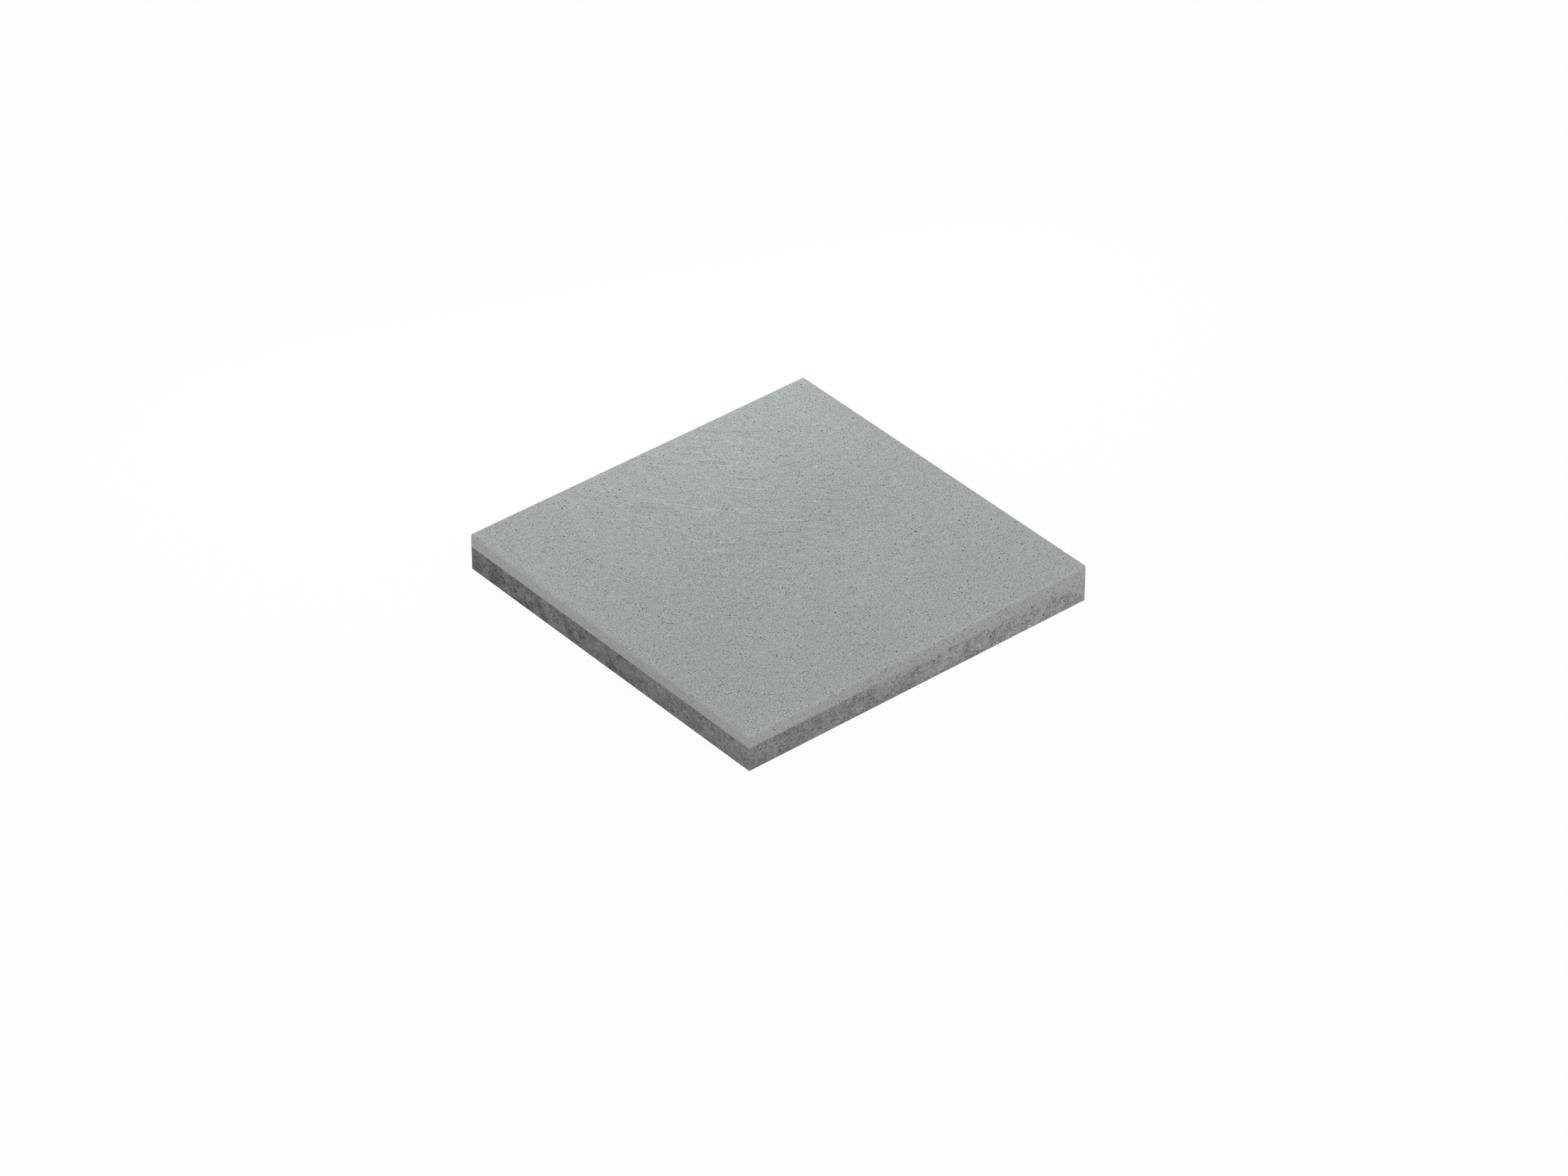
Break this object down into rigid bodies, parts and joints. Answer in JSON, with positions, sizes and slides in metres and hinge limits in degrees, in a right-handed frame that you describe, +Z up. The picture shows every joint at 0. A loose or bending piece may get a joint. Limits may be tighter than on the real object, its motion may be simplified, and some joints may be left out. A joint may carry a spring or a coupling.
{
  "type": "paving slab",
  "caption": "Square two-layer concrete paving slab: a fine light grey facing with a rounded upper edge, bonded to a coarse dark grey backing, laid flat on a bed.",
  "frame": {"origin": "centre of the underside, on the surface that the slab lies on", "axes": "+Z up through the thickness, +X and +Y square to the slab's sides"},
  "size_m": [0.4, 0.4, 0.04],
  "materials": {
    "facing_concrete": "matt, finely sandy, with small air pores and a faint slate-like relief",
    "backing_concrete": "matt, coarse and open-pored, mottled dark grey with pale grains"
  },
  "bodies": {
    "root": {"facing_layer": "facing_concrete", "backing_layer": "backing_concrete"}
  },
  "joints": []
}
